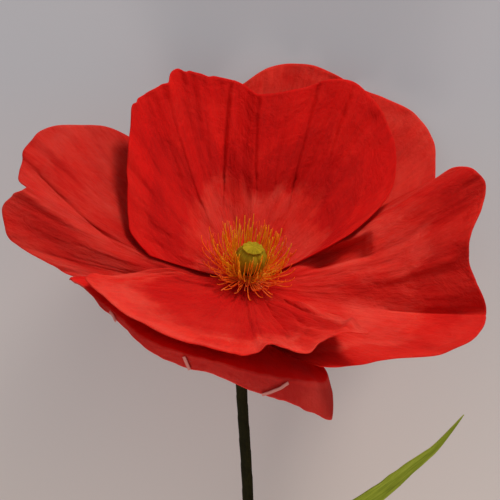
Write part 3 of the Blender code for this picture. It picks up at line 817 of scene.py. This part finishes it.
def lowest_petal():
    """How far the lowest rim lies below the petals' root, once the bloom is tilted."""
    stops = np.linspace(0.0, 1.0, 121)
    return -min((petal.smooth(stops, np.ones(121)) @ BLOOM.T)[:, 2].min() for petal in PETALS.values())


def stem_points(count):
    """Points down the middle of the stem, from under the pod to the foot, from the bloom's base."""
    drop = lowest_petal() - STEM_WRAP / 2
    route = [AXIS * (pod_base() - FIT_GAP) @ BLOOM.T, np.zeros(3), -STEM_NECK * AXIS @ BLOOM.T]
    for sideways, down, share in STEM_ROUTE:
        route.append(np.array((sideways, -down, -drop * share)))
    route.append(np.array((STEM_FOOT_SIDEWAYS, -STEM_BELOW_BLOOM, -drop)))
    return between(route, np.linspace(0.0, len(route) - 1, count))


def tube_frames(points):
    """At each point of a route, its way and two ways across it."""
    ways = np.gradient(points, axis=0)
    ways /= np.linalg.norm(ways, axis=1)[:, None]
    side = np.cross(ways, np.array((0.3, 0.0, 1.0)))
    side /= np.linalg.norm(side, axis=1)[:, None]
    return ways, side, np.cross(side, ways)


def tube(name, points, radius, around):
    """A round sheet along points, whose radius is radius(across, along) in millimetres."""
    _, side, other = tube_frames(points)
    rows = len(points) - 1

    def point(across, along):
        row = np.round(along * rows).astype(int)
        angle = across * 2 * math.pi
        reach = radius(across, along)[:, None]
        ring = np.cos(angle)[:, None] * side[row] + np.sin(angle)[:, None] * other[row]
        return (points[row] + reach * ring) @ BLOOM

    return close_seam(grid(name, around, rows, point))


# The strip wound round the stem, in millimetres: how far one turn moves along, the step where it
# overlaps, its wrinkles, and the length over which it is wound
SPIRAL_PITCH = 7.0
SPIRAL_STEP = 0.16
WRINKLE_HEIGHT = 0.05
WRINKLE_LENGTH = 5.0
STEM_LENGTH = 270.0
STEM_ROWS = 560

# The tape round the petals' roots: how far one turn moves along, and its share of the solid's wall
BINDING_PITCH = 3.0
BINDING_ROWS = 60
BINDING_SHARE = 0.7


def wound(length, radius, pitch, seed):
    """The radius of a stem wound with a strip: it steps down where each turn ends."""

    def reach(across, along):
        turn = (along * length / pitch - across) % 1.0
        step = SPIRAL_STEP * (np.minimum(turn * 9.0, 1.0) * (1.0 - turn))
        cells = int(length / WRINKLE_LENGTH)
        wrinkles = WRINKLE_HEIGHT * soft_noise(np.abs(2 * across - 1), along, 14, cells, seed)
        return radius - SPIRAL_STEP + step + wrinkles

    return reach


def make_stem():
    """The wire's wrapping: a strip of dark green crepe, its colour darkened nearly to black as painted
    shade, wound down the stem.
    """
    # Dark green with faint ridges, darkened nearly to black as painted shade, a quiet line under the bright
    # bloom
    paper = crepe("dark_green_crepe_strip", ("#0e0d01", "#1c1b03", "#2e2c08"), (14, 270), (0.8, 1.2))
    winding = wound(STEM_LENGTH, STEM_WRAP / 2, SPIRAL_PITCH, 81)
    sleeve = tube("wound_stem", stem_points(STEM_ROWS), winding, 36)
    sleeve = thicken(sleeve, (STEM_WRAP - STEM_WIRE) / 2 - FIT_GAP, -1.0)
    finish_piece(sleeve, "stem_wrap", paper)
    top = -PETAL_THICKNESS / 2 - FIT_GAP
    line = np.linspace(top, top - BINDING_LENGTH, BINDING_ROWS)[:, None] * AXIS @ BLOOM.T
    winding = wound(BINDING_LENGTH, STEM_WRAP / 2 + FIT_GAP + BINDING_THICKNESS, BINDING_PITCH, 82)
    binding = tube("wound_binding", line, winding, 48)
    binding = thicken(binding, BINDING_THICKNESS * BINDING_SHARE, -1.0)
    finish_piece(binding, "root_binding", paper)
    return paper


# Leaf, in millimetres: the midrib's way sideways, towards the bloom, and up
LEAF_BELOW_BLOOM = 125.0
LEAF_WIDTH = 9.0
LEAF_STALK_WIDTH = 1.8
LEAF_THICKNESS = 0.5
LEAF_FOLD = 1.4
LEAF_TURN = 38.0
LEAF_WIRE = 0.9
LEAF_WIRE_START = 0.02
LEAF_WIRE_END = 0.67
LEAF_WAVES = 26
LEAF_WAVE_HEIGHT = 0.3
LEAF_ROWS = 200
LEAF_STALK_SHARE = 0.08
LEAF_FULLNESS = 0.8
LEAF_TIP_WIDTH = 0.2
LEAF_ROUTE = (
    (0, 0, 0), (3, 11, 3), (9, 23, 7), (24, 35, 13), (42, 47, 18), (54, 56.5, 20), (65, 65, 21),
    (76, 77, 20),
)


def leaf_base():
    stem = stem_points(400)[::-1]
    x, z = (np.interp(-LEAF_BELOW_BLOOM, stem[:, 1], stem[:, k]) for k in (0, 2))
    return np.array((x + STEM_WRAP / 2 + FIT_GAP + LEAF_STALK_WIDTH / 2, -LEAF_BELOW_BLOOM, z))


def leaf_frames(count):
    """Points of the midrib, with the ways across the blade and the ways its upper face looks."""
    stops = np.linspace(0.0, 1.0, count)
    points = between(LEAF_ROUTE, stops * (len(LEAF_ROUTE) - 1)) + leaf_base()
    ways = np.gradient(points, axis=0)
    ways /= np.linalg.norm(ways, axis=1)[:, None]
    side = np.cross(ways, AXIS)
    side /= np.linalg.norm(side, axis=1)[:, None]
    upper = np.cross(side, ways)
    turn = math.radians(LEAF_TURN)
    across = side * math.cos(turn) - upper * math.sin(turn)
    above = upper * math.cos(turn) + side * math.sin(turn)
    return points, across, above


def make_leaf(wrap_paper):
    """One blade folded along its midrib, with a wrapped wire glued under it."""
    points, side, upper = leaf_frames(LEAF_ROWS + 1)

    def point(across, along):
        row = np.round(along * LEAF_ROWS).astype(int)
        off = 2 * across - 1
        past = np.clip((along - LEAF_STALK_SHARE) / (1 - LEAF_STALK_SHARE), 0.0, 1.0)
        blade = LEAF_WIDTH * np.sin(math.pi * past**LEAF_FULLNESS)
        width = np.maximum(np.maximum(blade, LEAF_STALK_WIDTH * (1 - along)), LEAF_TIP_WIDTH)
        waves = LEAF_WAVE_HEIGHT * soft_noise(across, along, 3, LEAF_WAVES, 91)
        lift = (LEAF_FOLD + waves) * np.abs(off) * width / LEAF_WIDTH
        place = points[row] + side[row] * (off * width / 2)[:, None] + upper[row] * lift[:, None]
        return place @ BLOOM

    blade = thicken(grid("folded_leaf", 30, LEAF_ROWS, point), LEAF_THICKNESS * 0.8)
    # Yellowish green with long ridges that lead to the tip
    paper = crepe("green_crepe_paper", ("#5c6a18", "#8c9a2c", "#aab448"), (9, 110), (0.6, 12.0))
    finish_piece(blade, "leaf", paper)
    start, end = (round(LEAF_ROWS * share) for share in (LEAF_WIRE_START, LEAF_WIRE_END))
    under = points - upper * (LEAF_THICKNESS / 2 + FIT_GAP + LEAF_WIRE / 2)
    wire = tube("wrapped_leaf_wire", under[start:end], lambda across, along: LEAF_WIRE / 2 + 0 * across, 12)
    close_ends(wire)
    finish_piece(wire, "leaf_wire", wrap_paper)


def close_ends(piece):
    """Fills the open ends of a tube."""
    deselect()
    piece.select_set(True)
    bpy.context.view_layer.objects.active = piece
    bpy.ops.object.mode_set(mode="EDIT")
    bpy.ops.mesh.select_all(action="DESELECT")
    bpy.ops.mesh.select_mode(type="EDGE")
    bpy.ops.mesh.select_non_manifold()
    bpy.ops.mesh.edge_face_add()
    bpy.ops.mesh.select_all(action="SELECT")
    bpy.ops.mesh.normals_make_consistent(inside=False)
    bpy.ops.object.mode_set(mode="OBJECT")


# Pale strips glued across the hem: their two ends on the outer front petal, across and along
STRIP_WIDTH = 1.1
STRIP_THICKNESS = 0.3
STRIP_PASTE = 0.45
STRIP_START = HEM_START + 0.02
STRIP_ENDS = {
    "glue_strip_left": ((0.345, STRIP_START), (0.375, 1.0)),
    "glue_strip_middle": ((0.545, STRIP_START), (0.56, 1.0)),
    "glue_strip_right": ((0.755, STRIP_START), (0.705, 1.0)),
}


def make_strips():
    """Narrow strips of pale paper that lie on the hem."""
    petal = PETALS["petal_outer_front"]
    # Faded pink, three light dashes on the dark hem
    paper = crepe("pale_glued_paper", ("#b86a60", "#d08a80", "#e0a8a0"), (1.1, 10), (0.4, 2.0))
    step = 0.004
    for name, ends in STRIP_ENDS.items():

        def point(across, along, ends=ends):
            here, there = (start + (end - start) * along for start, end in zip(*ends))
            middle = petal.at(here, there)
            sideways = petal.at(here + step, there) - petal.at(here - step, there)
            outwards = petal.at(here, there) - petal.at(here, there - step)
            upper = np.cross(outwards, sideways)
            upper /= np.linalg.norm(upper, axis=1)[:, None]
            way = petal.at(*(np.array([value]) for value in ends[1]))
            way = way - petal.at(*(np.array([value]) for value in ends[0]))
            side = np.cross(way, upper)
            side /= np.linalg.norm(side, axis=1)[:, None]
            lift = PETAL_THICKNESS / 2 + STRIP_PASTE + STRIP_THICKNESS / 2
            return middle + upper * lift + side * ((across - 0.5) * STRIP_WIDTH)[:, None]

        strip = thicken(grid("pale_" + name, 6, 40, point), STRIP_THICKNESS)
        finish_piece(strip, name, paper)


# Wire: the size of its scratches and their depth in millimetres
WIRE_SCRATCH = 0.4
WIRE_SCRATCH_DEPTH = 0.1


def finish_wire():
    """Drawn steel wire, seen only at the stem's cut end: a grey metal with fine scratches."""
    made, tree = new_material("drawn_steel_wire")
    place = add(tree, "ShaderNodeTexCoord").outputs["Object"]
    scratches = {"Vector": place, "Scale": 1 / (WIRE_SCRATCH * MM), "Detail": 3.0}
    grain = add(tree, "ShaderNodeTexNoise", scratches).outputs["Fac"]
    colour = add(
        tree, "ShaderNodeValToRGB", {"Fac": grain}, ((0.35, "#8a8a8c"), (0.65, "#b8b8bc"))
    ).outputs["Color"]
    height = add(
        tree, "ShaderNodeBump", {"Strength": 0.2, "Distance": WIRE_SCRATCH_DEPTH * MM, "Height": grain}
    ).outputs["Normal"]
    finish_material(tree, colour, height, 0.35, 1.0)
    for slot in bpy.data.objects["stem_wire"].material_slots:
        slot.material = made


# Camera: millimetres to a pixel, the picture's width and the pixel where the bloom's base is seen
PIXEL = 0.37
PHOTO_SIZE = 500
PHOTO_BASE = (246, 288)
CAMERA_HEIGHT = 900.0
SENSOR = 36.0


def make_camera():
    """Looks straight down on the lying flower, as the photograph looks on the upright one."""
    sideways = (PHOTO_SIZE / 2 - PHOTO_BASE[0]) * PIXEL
    upwards = (PHOTO_BASE[1] - PHOTO_SIZE / 2) * PIXEL
    place = (BLOOM_BASE + np.array((sideways, upwards, CAMERA_HEIGHT))) * MM
    deselect()
    bpy.ops.object.camera_add(location=place, rotation=(0.0, 0.0, 0.0))
    camera = bpy.context.object
    camera.data.sensor_width = SENSOR
    camera.data.lens = CAMERA_HEIGHT / (PIXEL * PHOTO_SIZE) * SENSOR
    bpy.context.scene.camera = camera


def make_lamp(name, off, size, power, colour):
    """A square soft light that looks at the bloom from an offset in millimetres."""
    place = (BLOOM_BASE + np.array(off)) * MM
    bpy.ops.object.light_add(type="AREA", location=place)
    lamp = bpy.context.object
    lamp.name = name
    lamp.rotation_mode = "QUATERNION"
    lamp.rotation_quaternion = Vector(off).to_track_quat("Z", "Y")
    lamp.data.size = size * MM
    lamp.data.energy = power
    lamp.data.color = linear(colour)[:3]


# Floor, in millimetres: its width, its mottle, and between which places its colour changes; then how
# uneven that change is, and how much brighter the floor looks than its light makes it
FLOOR_WIDTH = 6000.0
FLOOR_MOTTLE = 250.0
FLOOR_FADE = (-50.0, 200.0)
FLOOR_UNEVENNESS = 0.3
FLOOR_BRIGHTNESS = 0.3


def make_floor():
    """A plain pale floor under the flower."""
    deselect()
    bpy.ops.mesh.primitive_plane_add(size=FLOOR_WIDTH * MM, location=(0.0, 0.0, 0.0))
    floor = bpy.context.object
    floor.name = "pale_floor"
    # Matt paint with a faint mottle, warmer at the foot of the picture and cooler at its head
    made, tree = new_material("matt_pale_paint")
    place = add(tree, "ShaderNodeTexCoord").outputs["Object"]
    mottle = add(
        tree, "ShaderNodeTexNoise", {"Vector": place, "Scale": 1 / (FLOOR_MOTTLE * MM), "Detail": 2.0}
    ).outputs["Fac"]
    ways = add(tree, "ShaderNodeSeparateXYZ", {"Vector": place}).outputs["Y"]
    near, far = (value * MM for value in FLOOR_FADE)
    blend_share = add(
        tree, "ShaderNodeMapRange", {"Value": ways, "From Min": near, "From Max": far}
    ).outputs["Result"]
    soft = add(
        tree, "ShaderNodeMath", {0: mottle, 1: FLOOR_UNEVENNESS, 2: blend_share}, operation="MULTIPLY_ADD"
    ).outputs["Value"]
    colour = add(
        tree, "ShaderNodeValToRGB", {"Fac": soft}, ((0.1, "#c4bab2"), (0.6, "#b4b0ae"), (1.0, "#a8a8ac"))
    ).outputs["Color"]
    rays = add(tree, "ShaderNodeLightPath").outputs
    seen = rays["Is Camera Ray"]
    for other in ("Is Glossy Ray", "Is Transmission Ray"):
        seen = add(
            tree, "ShaderNodeMath", {0: seen, 1: rays[other]}, operation="MAXIMUM"
        ).outputs["Value"]
    glow = add(
        tree, "ShaderNodeMath", {0: seen, 1: FLOOR_BRIGHTNESS}, operation="MULTIPLY"
    ).outputs["Value"]
    shader = add(
        tree, "ShaderNodeBsdfPrincipled",
        {"Base Color": colour, "Roughness": 0.9, "Emission Color": colour, "Emission Strength": glow},
    )
    add(tree, "ShaderNodeOutputMaterial", {"Surface": shader.outputs["BSDF"]})
    floor.data.materials.append(made)


# Lamps: the place from the bloom's base and the size in millimetres, the power in watts, the colour
LAMPS = {
    "window_light": ((1050.0, 2480.0, 640.0), 800.0, 56.0, "#fff2e6"),
    "soft_fill": ((-300.0, -2400.0, 760.0), 1000.0, 30.0, "#ffece2"),
}
SKY = "#f2f1f4"
SKY_STRENGTH = 0.44


def make_light():
    """A soft main light, a soft fill and an even sky."""
    for name, sizes in LAMPS.items():
        make_lamp(name, *sizes)
    world = bpy.data.worlds.new("even_sky")
    bpy.context.scene.world = world
    world.use_nodes = True
    background = world.node_tree.nodes["Background"]
    background.inputs["Color"].default_value = linear(SKY)
    background.inputs["Strength"].default_value = SKY_STRENGTH
    bpy.context.scene.view_settings.view_transform = "Standard"


make_petals()
make_fringes()
make_pod()
make_stigma()
make_leaf(make_stem())
make_strips()
finish_wire()
make_floor()
make_light()
make_camera()
